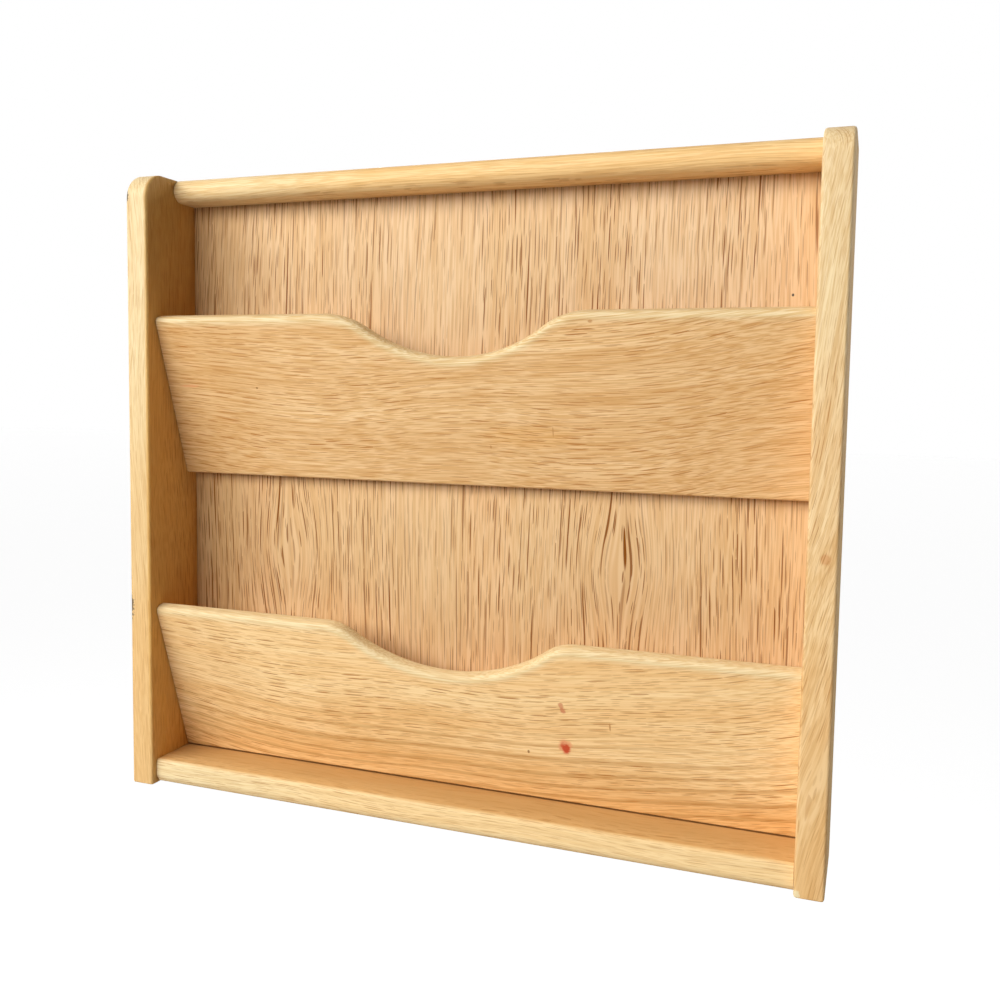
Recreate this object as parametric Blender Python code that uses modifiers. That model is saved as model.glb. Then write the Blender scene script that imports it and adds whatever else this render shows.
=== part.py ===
"""Wall magazine rack: two side boards, a rail, a shelf, a back panel and two slanted pocket fronts.

Metres, +Z up, +X to the right of someone facing the rack, +Y towards the wall.
The wall is the plane y = 0. The origin is the middle of the top rail's back face.
"""

from math import asin, cos, pi, radians, sin, sqrt, tan

import bmesh
import bpy
from mathutils import Matrix

# Overall size
WIDTH = 0.420
HEIGHT = 0.380
DEPTH = 0.058

# Side boards
SIDE_THICKNESS = 0.015
SIDE_TOP_RADIUS = 0.016
SIDE_EDGE_RADIUS = 0.0015

# Top rail and bottom shelf
RAIL_THICKNESS = 0.014
RAIL_DEPTH = 0.0325
SHELF_THICKNESS = 0.016
SHELF_SETBACK = 0.0040
SHELF_NOSE_RADIUS = 0.007
SHELF_LOWER_RADIUS = 0.0025
BACK_ARRIS = 0.0008

# Back panel, held in grooves all round
PANEL_THICKNESS = 0.004
PANEL_RECESS = 0.0075
GROOVE_DEPTH = 0.005

# Pocket fronts
POCKET_THICKNESS = 0.009
POCKET_LENGTH = 0.1011
POCKET_SLANT = radians(17.5)
POCKET_EDGE_RADIUS = 0.003
UPPER_FOOT_HEIGHT = 0.196
LOWER_FOOT_GAP = 0.0018
SCALLOP_DEPTH = 0.0255
UPPER_SCALLOP_RADIUS = 0.091
UPPER_SHOULDER_RADIUS = 0.046
LOWER_SCALLOP_RADIUS = 0.100
LOWER_SHOULDER_RADIUS = 0.028

# Dowels
FRAME_DOWEL_RADIUS = 0.003
FRAME_DOWEL_IN_SIDE = 0.010
FRAME_DOWEL_IN_BOARD = 0.018
POCKET_DOWEL_RADIUS = 0.002
POCKET_DOWEL_IN_SIDE = 0.008
POCKET_DOWEL_IN_BOARD = 0.014
POCKET_DOWEL_EDGE = 0.022
DOWEL_CHAMFER = 0.0006

# Keyhole hangers in the back edges of the sides
HANGER_WIDTH = 0.011
HANGER_LENGTH = 0.036
HANGER_THICKNESS = 0.0012
HANGER_DROP = 0.045
HANGER_FLUSH = 0.0002
HANGER_SCREW_EDGE = 0.0048
KEYHOLE_RADIUS = 0.0042
KEYHOLE_SLOT_RADIUS = 0.0021
KEYHOLE_SLOT_RISE = 0.009
HEAD_ROOM_DEPTH = 0.0045
HEAD_ROOM_WALL = 0.0012
SCREW_HEAD_RADIUS = 0.0028
SCREW_SHANK_RADIUS = 0.0013
SCREW_LENGTH = 0.014
SCREW_POINT = 0.003
SCREW_SLOT_WIDTH = 0.0008
SCREW_SLOT_DEPTH = 0.0007

# Clearances
FIT = 0.0003
HOLE_END_ROOM = 0.001
CUT_PAST = 0.002
WELD_DISTANCE = 0.000001

# Facets
CORNER_STEPS = 10
NOSE_STEPS = 14
SCALLOP_STEPS = 18
SHOULDER_STEPS = 7
EASED_STEPS = 2
EDGE_STEPS = 3
ROUND_SIDES = 16
EASE_ANGLE = radians(40)
SHARP_ANGLE = radians(35)
FLAT_ANGLE = radians(1)
FACING = 0.5

# Places worked out from the sizes above, with heights measured from the foot of the sides
FOOT_Z = RAIL_THICKNESS / 2 - HEIGHT
INNER_HALF = WIDTH / 2 - SIDE_THICKNESS
BOARD_LENGTH = 2 * (INNER_HALF - FIT)
PANEL_BACK_Y = -PANEL_RECESS
PANEL_FRONT_Y = PANEL_BACK_Y - PANEL_THICKNESS
PANEL_MID_Y = (PANEL_BACK_Y + PANEL_FRONT_Y) / 2
RAIL_BOTTOM = HEIGHT - RAIL_THICKNESS
SHELF_DEPTH = DEPTH - SHELF_SETBACK
HANGER_Y = -HANGER_FLUSH - HANGER_THICKNESS / 2
HANGER_RECESS_Y = -HANGER_FLUSH - HANGER_THICKNESS - FIT
SIDES = {"left": -1, "right": 1}
FOOT_RUN = POCKET_THICKNESS / cos(POCKET_SLANT)
POCKET_FEET = {
    "upper": (PANEL_FRONT_Y - FIT - FOOT_RUN, UPPER_FOOT_HEIGHT),
    "lower": (PANEL_FRONT_Y - LOWER_FOOT_GAP - FOOT_RUN, SHELF_THICKNESS + FIT),
}
SCALLOPS = {
    "upper": (UPPER_SCALLOP_RADIUS, UPPER_SHOULDER_RADIUS),
    "lower": (LOWER_SCALLOP_RADIUS, LOWER_SHOULDER_RADIUS),
}

# A section drawn in the plane (y, z), pulled along x
SECTION = Matrix(((0, 0, 1, 0), (1, 0, 0, 0), (0, 1, 0, 0), (0, 0, 0, 1)))

# An outline drawn in the plane (x, z), pulled along y
BACK_OUTLINE = Matrix.Rotation(pi / 2, 4, "X")

# A cylinder laid along x
ALONG_X = Matrix.Rotation(pi / 2, 4, "Y")


def place(x, y, height, turn=None):
    """A placement at a height above the foot of the sides, with an optional turn."""
    spot = Matrix.Translation((x, y, FOOT_Z + height))
    return spot @ turn if turn else spot


def arc(centre, radius, start, end, steps):
    """Points on an arc, from angle start to angle end in radians, both ends included."""
    angles = [start + (end - start) * i / steps for i in range(steps + 1)]
    return [(centre[0] + radius * cos(a), centre[1] + radius * sin(a)) for a in angles]


def new_collection(name):
    collection = bpy.data.collections.new(name)
    bpy.context.scene.collection.children.link(collection)
    return collection


def new_material(name, colour, roughness, metallic=0.0):
    material = bpy.data.materials.new(name)
    material.use_nodes = True
    shader = material.node_tree.nodes["Principled BSDF"]
    shader.inputs["Base Color"].default_value = (*colour, 1.0)
    shader.inputs["Roughness"].default_value = roughness
    shader.inputs["Metallic"].default_value = metallic
    material.diffuse_color = (*colour, 1.0)
    return material


def new_object(name, mesh, spot, collection):
    thing = bpy.data.objects.new(name, mesh)
    thing.matrix_world = spot
    collection.objects.link(thing)
    return thing


def mesh_from(name, fill):
    """A mesh filled by a function that takes an empty bmesh."""
    shape = bmesh.new()
    fill(shape)
    mesh = bpy.data.meshes.new(name)
    shape.to_mesh(mesh)
    shape.free()
    return mesh


def box_mesh(name, size):
    scale = Matrix.Diagonal((*size, 1.0))
    return mesh_from(name, lambda shape: bmesh.ops.create_cube(shape, size=1.0, matrix=scale))


def cone_mesh(name, low_radius, high_radius, length):
    return mesh_from(name, lambda shape: bmesh.ops.create_cone(
        shape, cap_ends=True, segments=ROUND_SIDES, radius1=low_radius, radius2=high_radius, depth=length))


def outline_object(name, loops, thickness, spot, collection):
    """A flat outline, with any holes after its outer loop, given a thickness and made a mesh.

    Where there is no hole, the fill's triangles are joined, because a bevel stays inside its triangle.
    """
    curve = bpy.data.curves.new(name, "CURVE")
    curve.dimensions = "2D"
    curve.fill_mode = "BOTH"
    curve.extrude = thickness / 2
    for loop in loops:
        spline = curve.splines.new("POLY")
        spline.points.add(len(loop) - 1)
        for point, (u, v) in zip(spline.points, loop):
            point.co = (u, v, 0.0, 1.0)
        spline.use_cyclic_u = True
    drawn = new_object(name + "_outline", curve, spot, collection)
    bpy.context.view_layer.update()
    evaluated = drawn.evaluated_get(bpy.context.evaluated_depsgraph_get())
    mesh = bpy.data.meshes.new_from_object(evaluated)
    mesh.name = name
    shape = bmesh.new()
    shape.from_mesh(mesh)
    bmesh.ops.remove_doubles(shape, verts=shape.verts, dist=WELD_DISTANCE)
    if len(loops) == 1:
        bmesh.ops.dissolve_limit(shape, angle_limit=FLAT_ANGLE, verts=shape.verts, edges=shape.edges)
    shape.to_mesh(mesh)
    shape.free()
    bpy.data.objects.remove(drawn)
    bpy.data.curves.remove(curve)
    return new_object(name, mesh, spot, collection)


def finish(thing, material):
    thing.data.materials.clear()
    thing.data.materials.append(material)
    return thing


def ease_edges(thing, width, segments, by_weight=False):
    bevel = thing.modifiers.new("eased_edges", "BEVEL")
    bevel.width = width
    bevel.segments = segments
    bevel.limit_method = "WEIGHT" if by_weight else "ANGLE"
    bevel.angle_limit = EASE_ANGLE


def cut(thing, cutter):
    """Take a cutter's shape out of a piece."""
    cutter.hide_render = True
    cutter.display_type = "WIRE"
    boolean = thing.modifiers.new("cut_" + cutter.name, "BOOLEAN")
    boolean.operation = "DIFFERENCE"
    boolean.object = cutter


def cut_box(thing, name, size, spot):
    cut(thing, new_object(name, box_mesh(name, size), spot, cutters))


def cut_bore(thing, name, radius, length, spot):
    cut(thing, new_object(name, cone_mesh(name, radius, radius, length), spot, cutters))


def pocket_spot(foot_y, foot_height, u, v, depth):
    """A point of a pocket front: u along x, v up the slant from its front foot, depth into the board."""
    y = foot_y - v * sin(POCKET_SLANT) + depth * cos(POCKET_SLANT)
    height = foot_height + v * cos(POCKET_SLANT) + depth * sin(POCKET_SLANT)
    return u, y, height


def dowel_rows():
    """Every dowel of one side: its name, y, height, radius, length in the side and in the board.

    Those of the rail and the shelf stand at quarters of the wood in front of the panel's groove.
    """
    frame = (FRAME_DOWEL_RADIUS, FRAME_DOWEL_IN_SIDE, FRAME_DOWEL_IN_BOARD)
    pocket = (POCKET_DOWEL_RADIUS, POCKET_DOWEL_IN_SIDE, POCKET_DOWEL_IN_BOARD)
    rail = ("rail", -RAIL_DEPTH, RAIL_BOTTOM + RAIL_THICKNESS / 2)
    shelf = ("shelf", -SHELF_DEPTH, SHELF_THICKNESS / 2)
    rows = []
    for board, front_y, height in (rail, shelf):
        quarter = (PANEL_FRONT_Y - FIT - front_y) / 4
        rows.append((board + "_dowel_front", front_y + quarter, height, *frame))
        rows.append((board + "_dowel_back", front_y + 3 * quarter, height, *frame))
    for board, (foot_y, foot_height) in POCKET_FEET.items():
        for end, v in (("low", POCKET_DOWEL_EDGE), ("high", POCKET_LENGTH - POCKET_DOWEL_EDGE)):
            _, y, height = pocket_spot(foot_y, foot_height, 0, v, POCKET_THICKNESS / 2)
            rows.append((f"{board}_pocket_dowel_{end}", y, height, *pocket))
    return rows


def bore_for_dowels(board, prefix):
    """Dowel holes in both ends of a board."""
    for side, sign in SIDES.items():
        for name, y, height, radius, _, in_board in dowel_rows():
            if name.startswith(prefix):
                length = in_board + HOLE_END_ROOM + CUT_PAST
                x = sign * (INNER_HALF + CUT_PAST - length / 2)
                spot = place(x, y, height, ALONG_X)
                cut_bore(board, f"{board.name}_hole_{side}_{name}", radius + FIT, length, spot)


def add_side(side, sign):
    """A side board: rounded front top corner, panel groove, dowel holes and a hanger seat."""
    corner = (SIDE_TOP_RADIUS - DEPTH, HEIGHT - SIDE_TOP_RADIUS)
    section = [(0, 0), (0, HEIGHT)]
    section += arc(corner, SIDE_TOP_RADIUS, pi / 2, pi, CORNER_STEPS)
    section += [(-DEPTH, 0)]
    middle = sign * (WIDTH / 2 - SIDE_THICKNESS / 2)
    board = outline_object(side + "_side", [section], SIDE_THICKNESS, place(middle, 0, 0, SECTION), parts)
    ease_edges(board, SIDE_EDGE_RADIUS, EASED_STEPS)
    groove_low = SHELF_THICKNESS - GROOVE_DEPTH
    groove_high = RAIL_BOTTOM + GROOVE_DEPTH
    groove_size = (2 * GROOVE_DEPTH, PANEL_THICKNESS + 2 * FIT, groove_high - groove_low)
    groove_spot = place(sign * INNER_HALF, PANEL_MID_Y, (groove_low + groove_high) / 2)
    cut_box(board, side + "_groove", groove_size, groove_spot)
    for name, y, height, radius, in_side, _ in dowel_rows():
        length = in_side + HOLE_END_ROOM + CUT_PAST
        x = sign * (INNER_HALF - CUT_PAST + length / 2)
        cut_bore(board, f"{side}_hole_{name}", radius + FIT, length, place(x, y, height, ALONG_X))
    cut_hanger_seat(board, side, middle)
    return finish(board, wood)


def keyhole_loop():
    """The keyhole's outline about the middle of its plate: a round opening with a slot rising from it."""
    low = -KEYHOLE_SLOT_RISE / 2
    neck = asin(KEYHOLE_SLOT_RADIUS / KEYHOLE_RADIUS)
    opening = arc((0, low), KEYHOLE_RADIUS, pi / 2 + neck, 5 * pi / 2 - neck, NOSE_STEPS)
    return opening + arc((0, low + KEYHOLE_SLOT_RISE), KEYHOLE_SLOT_RADIUS, 0, pi, NOSE_STEPS // 2)


def hanger_screw_heights():
    middle = HEIGHT - HANGER_DROP
    reach = HANGER_LENGTH / 2 - HANGER_SCREW_EDGE
    return {"low": middle - reach, "high": middle + reach}


def cut_hanger_seat(board, side, middle):
    """The shallow seat of a hanger plate, the room for a screw head behind it, and the screw holes."""
    height = HEIGHT - HANGER_DROP
    seat = (HANGER_WIDTH + 2 * FIT, -2 * HANGER_RECESS_Y, HANGER_LENGTH + 2 * FIT)
    cut_box(board, side + "_hanger_seat", seat, place(middle, 0, height))
    room_half = KEYHOLE_RADIUS + HEAD_ROOM_WALL
    room = (2 * room_half, HEAD_ROOM_DEPTH + CUT_PAST, KEYHOLE_SLOT_RISE + 2 * room_half)
    room_y = HANGER_RECESS_Y + CUT_PAST - room[1] / 2
    cut_box(board, side + "_head_room", room, place(middle, room_y, height))
    length = SCREW_LENGTH + HOLE_END_ROOM + CUT_PAST
    for end, screw_height in hanger_screw_heights().items():
        spot = place(middle, CUT_PAST - length / 2, screw_height, BACK_OUTLINE)
        cut_bore(board, f"{side}_screw_hole_{end}", SCREW_SHANK_RADIUS + FIT, length, spot)


def add_hanger(side, sign):
    """A keyhole plate in its seat, with two countersunk holes."""
    half_width = HANGER_WIDTH / 2
    half_straight = HANGER_LENGTH / 2 - half_width
    outer = arc((0, half_straight), half_width, 0, pi, NOSE_STEPS)
    outer += arc((0, -half_straight), half_width, pi, 2 * pi, NOSE_STEPS)
    middle = sign * (WIDTH / 2 - SIDE_THICKNESS / 2)
    spot = place(middle, HANGER_Y, HEIGHT - HANGER_DROP, BACK_OUTLINE)
    plate = outline_object(side + "_hanger_plate", [outer, keyhole_loop()], HANGER_THICKNESS, spot, parts)
    reach = HANGER_THICKNESS + 2 * FIT
    slope = (SCREW_HEAD_RADIUS - SCREW_SHANK_RADIUS) / HANGER_THICKNESS * FIT
    wide = SCREW_HEAD_RADIUS + FIT + slope
    narrow = SCREW_SHANK_RADIUS + FIT - slope
    for end, height in hanger_screw_heights().items():
        name = f"{side}_countersink_{end}"
        sink = cone_mesh(name, wide, narrow, reach)
        cut(plate, new_object(name, sink, place(middle, HANGER_Y, height, BACK_OUTLINE), cutters))
    return finish(plate, zinc)


def screw_mesh(name):
    """Half a section of a countersunk wood screw, head up, for turning about z."""
    section = [(0, 0), (SCREW_HEAD_RADIUS, 0), (SCREW_SHANK_RADIUS, -HANGER_THICKNESS)]
    section += [(SCREW_SHANK_RADIUS, SCREW_POINT - SCREW_LENGTH), (0, -SCREW_LENGTH)]

    def draw(shape):
        points = [shape.verts.new((radius, 0, z)) for radius, z in section]
        for first, second in zip(points, points[1:]):
            shape.edges.new((first, second))

    return mesh_from(name, draw)


def add_screw(side, sign, end, height):
    name = f"{side}_hanger_screw_{end}"
    middle = sign * (WIDTH / 2 - SIDE_THICKNESS / 2)
    head_out = Matrix.Rotation(-pi / 2, 4, "X")
    spot = place(middle, -HANGER_FLUSH, height, head_out)
    screw = new_object(name, screw_mesh(name), spot, parts)
    turn = screw.modifiers.new("turned", "SCREW")
    turn.steps = ROUND_SIDES
    turn.render_steps = ROUND_SIDES
    turn.use_merge_vertices = True
    turn.merge_threshold = WELD_DISTANCE
    for arm in range(2):
        slot_name = f"{name}_slot_{arm}"
        size = (2 * SCREW_SHANK_RADIUS, SCREW_SLOT_WIDTH, 2 * SCREW_SLOT_DEPTH)
        slot = new_object(slot_name, box_mesh(slot_name, size), spot, cutters)
        slot.matrix_world = spot @ Matrix.Rotation(arm * pi / 2, 4, "Z")
        cut(screw, slot)
    return finish(screw, zinc)


def add_rail():
    """The top rail: full round front, square back, groove below for the panel."""
    radius = RAIL_THICKNESS / 2
    section = arc((radius - RAIL_DEPTH, 0), radius, pi / 2, 3 * pi / 2, NOSE_STEPS)
    section += [(-BACK_ARRIS, -radius), (0, BACK_ARRIS - radius)]
    section += [(0, radius - BACK_ARRIS), (-BACK_ARRIS, radius)]
    spot = place(0, 0, RAIL_BOTTOM + radius, SECTION)
    rail = outline_object("top_rail", [section], BOARD_LENGTH, spot, parts)
    groove = (BOARD_LENGTH + CUT_PAST, PANEL_THICKNESS + 2 * FIT, 2 * GROOVE_DEPTH)
    cut_box(rail, "rail_groove", groove, place(0, PANEL_MID_Y, RAIL_BOTTOM))
    bore_for_dowels(rail, "rail")
    return finish(rail, wood)


def add_shelf():
    """The bottom shelf: rounded front edge, groove above for the panel."""
    nose = (SHELF_NOSE_RADIUS - SHELF_DEPTH, SHELF_THICKNESS - SHELF_NOSE_RADIUS)
    under = (SHELF_LOWER_RADIUS - SHELF_DEPTH, SHELF_LOWER_RADIUS)
    section = arc(nose, SHELF_NOSE_RADIUS, pi / 2, pi, CORNER_STEPS)
    section += arc(under, SHELF_LOWER_RADIUS, pi, 3 * pi / 2, CORNER_STEPS // 2)
    section += [(-BACK_ARRIS, 0), (0, BACK_ARRIS)]
    section += [(0, SHELF_THICKNESS - BACK_ARRIS), (-BACK_ARRIS, SHELF_THICKNESS)]
    shelf = outline_object("bottom_shelf", [section], BOARD_LENGTH, place(0, 0, 0, SECTION), parts)
    groove = (BOARD_LENGTH + CUT_PAST, PANEL_THICKNESS + 2 * FIT, 2 * GROOVE_DEPTH)
    cut_box(shelf, "shelf_groove", groove, place(0, PANEL_MID_Y, SHELF_THICKNESS))
    bore_for_dowels(shelf, "shelf")
    return finish(shelf, wood)


def add_back_panel():
    reach = GROOVE_DEPTH - FIT
    low = SHELF_THICKNESS - reach
    high = RAIL_BOTTOM + reach
    size = (2 * (INNER_HALF + reach), PANEL_THICKNESS, high - low)
    spot = place(0, PANEL_MID_Y, (low + high) / 2)
    return finish(new_object("back_panel", box_mesh("back_panel", size), spot, parts), veneer)


def scallop_points(radius, shoulder):
    """The top edge from right to left: shoulder, hollow, shoulder, each arc tangent to the next."""
    span = radius + shoulder
    half = sqrt(2 * SCALLOP_DEPTH * span - SCALLOP_DEPTH ** 2)
    lean = asin(half / span)
    shoulder_v = POCKET_LENGTH - shoulder
    hollow = (0, POCKET_LENGTH - SCALLOP_DEPTH + radius)
    right = arc((half, shoulder_v), shoulder, pi / 2, pi / 2 + lean, SHOULDER_STEPS)
    bottom = arc(hollow, radius, lean - pi / 2, -lean - pi / 2, SCALLOP_STEPS)
    left = arc((-half, shoulder_v), shoulder, pi / 2 - lean, pi / 2, SHOULDER_STEPS)
    return right + bottom[1:-1] + left


def weigh_top_edges(board):
    """Mark the long edges of the scalloped top, front and back, for rounding."""
    shape = bmesh.new()
    shape.from_mesh(board.data)
    weight = shape.edges.layers.float.new("bevel_weight_edge")
    shape.normal_update()
    for edge in shape.edges:
        rims = [face for face in edge.link_faces if abs(face.normal.z) < FACING]
        along = edge.verts[1].co - edge.verts[0].co
        if len(rims) == 1 and rims[0].normal.y > FACING and abs(along.z) < POCKET_THICKNESS / 2:
            edge[weight] = 1.0
    shape.to_mesh(board.data)
    shape.free()


def add_pocket(name, foot_y, foot_height):
    """A slanted pocket front with a scalloped, rounded top and a level foot."""
    foot_room = POCKET_THICKNESS * tan(POCKET_SLANT) + CUT_PAST
    half = BOARD_LENGTH / 2
    loop = [(-half, -foot_room), (half, -foot_room), (half, POCKET_LENGTH)]
    loop += scallop_points(*SCALLOPS[name])
    loop += [(-half, POCKET_LENGTH)]
    turn = Matrix.Rotation(pi / 2 + POCKET_SLANT, 4, "X")
    spot = place(*pocket_spot(foot_y, foot_height, 0, 0, POCKET_THICKNESS / 2), turn)
    board = outline_object(name + "_pocket_front", [loop], POCKET_THICKNESS, spot, parts)
    weigh_top_edges(board)
    ease_edges(board, POCKET_EDGE_RADIUS, EDGE_STEPS, by_weight=True)
    waste_height = foot_room + CUT_PAST
    waste = (WIDTH, 2 * (FOOT_RUN + foot_room), waste_height)
    cut_box(board, name + "_pocket_foot", waste, place(0, foot_y, foot_height - waste_height / 2))
    bore_for_dowels(board, name + "_pocket")
    return finish(board, wood)


def add_dowels(side, sign):
    for name, y, height, radius, in_side, in_board in dowel_rows():
        full_name = f"{side}_{name}"
        middle = sign * (INNER_HALF + (in_side - in_board) / 2)
        pin = cone_mesh(full_name, radius, radius, in_side + in_board)
        dowel = new_object(full_name, pin, place(middle, y, height, ALONG_X), parts)
        ease_edges(dowel, DOWEL_CHAMFER, 1)
        finish(dowel, beech)


def smooth_round_faces():
    for thing in parts.objects:
        thing.data.shade_smooth()
        thing.data.set_sharp_from_angle(angle=SHARP_ANGLE)


for old in list(bpy.data.objects):
    bpy.data.objects.remove(old)

parts = new_collection("wall_magazine_rack")
cutters = new_collection("cutters")

wood = new_material("rubberwood", (0.72, 0.47, 0.22), 0.38)
veneer = new_material("veneered_ply", (0.70, 0.45, 0.24), 0.42)
beech = new_material("beech_dowel", (0.66, 0.47, 0.30), 0.6)
zinc = new_material("zinc_plate", (0.62, 0.63, 0.64), 0.35, metallic=1.0)

add_rail()
add_shelf()
add_back_panel()
for pocket, (foot_y, foot_height) in POCKET_FEET.items():
    add_pocket(pocket, foot_y, foot_height)
for side, sign in SIDES.items():
    add_side(side, sign)
    add_dowels(side, sign)
    add_hanger(side, sign)
    for end, height in hanger_screw_heights().items():
        add_screw(side, sign, end, height)
smooth_round_faces()
bpy.context.view_layer.update()
print("pieces:", len(parts.objects))
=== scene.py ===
# %% [markdown]
# # A wooden wall rack for magazines
# The rack is a shallow wooden box that hangs on a wall: two side boards, a rail, a shelf, a thin
# veneered back and two slanted pocket fronts with a dip for the fingers. The CAD model has every
# board in its place. This lesson gives the boards their rounded edges and their wood.

# %% Load the packed frame
import math
from functools import partialmethod
from types import SimpleNamespace

import bmesh
import bpy
from mathutils import Euler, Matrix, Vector


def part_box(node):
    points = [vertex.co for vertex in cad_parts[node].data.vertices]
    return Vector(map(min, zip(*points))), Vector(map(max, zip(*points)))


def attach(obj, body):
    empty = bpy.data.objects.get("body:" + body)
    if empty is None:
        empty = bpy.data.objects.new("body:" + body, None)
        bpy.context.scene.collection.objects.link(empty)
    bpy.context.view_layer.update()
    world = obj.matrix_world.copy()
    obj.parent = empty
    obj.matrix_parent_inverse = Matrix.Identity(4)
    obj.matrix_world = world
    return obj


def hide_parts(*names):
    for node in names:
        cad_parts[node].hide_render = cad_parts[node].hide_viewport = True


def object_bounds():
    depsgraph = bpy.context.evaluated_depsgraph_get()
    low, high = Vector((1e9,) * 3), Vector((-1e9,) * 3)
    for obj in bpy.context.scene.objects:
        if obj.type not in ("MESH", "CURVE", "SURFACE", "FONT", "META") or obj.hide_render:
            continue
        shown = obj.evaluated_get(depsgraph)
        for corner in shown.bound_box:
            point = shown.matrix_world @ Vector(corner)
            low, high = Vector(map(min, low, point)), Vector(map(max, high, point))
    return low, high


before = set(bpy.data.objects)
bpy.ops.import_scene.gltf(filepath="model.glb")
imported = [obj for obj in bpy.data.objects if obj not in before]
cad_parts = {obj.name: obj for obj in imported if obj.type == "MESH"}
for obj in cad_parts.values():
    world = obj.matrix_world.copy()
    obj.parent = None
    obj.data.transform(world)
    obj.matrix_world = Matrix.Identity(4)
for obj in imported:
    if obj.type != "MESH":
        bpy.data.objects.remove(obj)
CAD_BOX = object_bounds()
MM = 0.001
print("CAD nodes:", len(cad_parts), "box (mm):", [round(s / MM, 1) for s in CAD_BOX[1] - CAD_BOX[0]])

# %% [markdown]
# ## The camera
# The photograph was taken from close by, right of the rack's middle. A camera can be placed by eye,
# but a near view shows every error, so a pinhole camera was fitted to the rack's own straight edges.
# The shift is what is left of the picture's cropping.

# %% Camera at the photograph's view
CAMERA_PLACE = (0.22391, -0.5651, -0.12664)
CAMERA_YAW, CAMERA_PITCH, CAMERA_ROLL = 0.3447, -0.0773, 0.0168
CAMERA_LENS, SENSOR_WIDTH = 36.336, 36.0
CAMERA_SHIFT = (-0.01136, -0.02232)


def put(name, data):
    made = bpy.data.objects.new(name, data)
    bpy.context.collection.objects.link(made)
    return made


lens = bpy.data.cameras.new("photo_camera")
lens.lens, lens.sensor_width = CAMERA_LENS, SENSOR_WIDTH
lens.shift_x, lens.shift_y = CAMERA_SHIFT
camera = put("photo_camera", lens)
turn = Euler((0, 0, CAMERA_YAW)).to_matrix() @ Euler((math.pi / 2 + CAMERA_PITCH, 0, 0)).to_matrix()
camera.rotation_euler = (turn @ Euler((0, 0, CAMERA_ROLL)).to_matrix()).to_euler()
camera.location = CAMERA_PLACE
bpy.context.scene.camera = camera
print("camera", round(lens.lens, 1), "mm at", CAMERA_PLACE)

# %% [markdown]
# ## A helper for wiring nodes
# A node tree reads better as a short list of sentences than as fifty lines of `links.new`. `Net` adds
# nodes to one tree. Its calls take numbers or sockets and return the new node's output, ready for the
# next call.

# %% The wiring net
class Net:
    def __init__(self, tree):
        self.tree = tree

    def node(self, kind, inputs=None, **settings):
        made = self.tree.nodes.new(kind)
        for key, value in settings.items():
            setattr(made, key, value)
        for key, value in (inputs or {}).items():
            self.feed(made.inputs[key], value)
        return made

    def feed(self, socket, value):
        if isinstance(value, bpy.types.NodeSocket):
            self.tree.links.new(value, socket)
        else:
            socket.default_value = value

    def math(self, operation, a, b=0.0):
        return self.node("ShaderNodeMath", {0: a, 1: b}, operation=operation).outputs[0]

    times, plus = partialmethod(math, "MULTIPLY"), partialmethod(math, "ADD")
    minus, over = partialmethod(math, "SUBTRACT"), partialmethod(math, "DIVIDE")

    def vector(self, operation, a, b=(0.0, 0.0, 0.0)):
        made = self.node("ShaderNodeVectorMath", {0: a}, operation=operation)
        self.feed(made.inputs["Scale" if operation == "SCALE" else 1], b)
        return made.outputs["Value" if operation == "LENGTH" else "Vector"]

    def combine(self, x=0.0, y=0.0, z=0.0):
        return self.node("ShaderNodeCombineXYZ", {"X": x, "Y": y, "Z": z}).outputs[0]

    def split(self, vector):
        return self.node("ShaderNodeSeparateXYZ", {0: vector}).outputs

    def between(self, value, low, high, to_low=0.0, to_high=1.0):
        """A soft step: to_low below `low`, to_high above `high`."""
        ends = {"Value": value, "From Min": low, "From Max": high, "To Min": to_low, "To Max": to_high}
        return self.node("ShaderNodeMapRange", ends, interpolation_type="SMOOTHSTEP").outputs[0]

    def blend(self, amount, a, b, how="MIX"):
        """Mixes two colours; 6, 7 and 2 are the Mix node's colour sockets."""
        made = self.node("ShaderNodeMix", data_type="RGBA", blend_type=how)
        self.feed(made.inputs[0], amount)
        for place, colour in ((6, a), (7, b)):
            self.feed(made.inputs[place], (*colour, 1.0) if isinstance(colour, tuple) else colour)
        return made.outputs[2]

    def noise(self, vector, detail=1.0, out="Fac"):
        made = self.node("ShaderNodeTexNoise", {"Vector": vector, "Scale": 1.0, "Detail": detail})
        return made.outputs[out]

    def fill(self, node, **inputs):
        """Feeds a node's inputs; names with spaces are written with underscores."""
        for key, value in inputs.items():
            self.feed(node.inputs[key.replace("_", " ")], value)
        return node

    def use(self, group, place, **inputs):
        made = self.node("ShaderNodeGroup", node_tree=group)
        return self.fill(made, Vector=place, **inputs).outputs[0]

    def geometry(self, kind, settings=None, **inputs):
        made = self.node("GeometryNode" + kind, **(settings or {}))
        return self.fill(made, **inputs).outputs[0]


print("net calls:", [name for name in vars(Net) if not name.startswith("_")])

# %% [markdown]
# ## Light
# A wide soft light stood left of the photographer and above the rack: the left board's shadow fades
# out over 60 mm of the back. So one broad area light does most of the work. A weak lamp stands for
# the light that a floor throws back under the round edges, and a dim even world fills the rest. Two
# lamps behind serve only the views of the back and the far side. The world is plain white wherever
# the camera or a reflection sees it.

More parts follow.
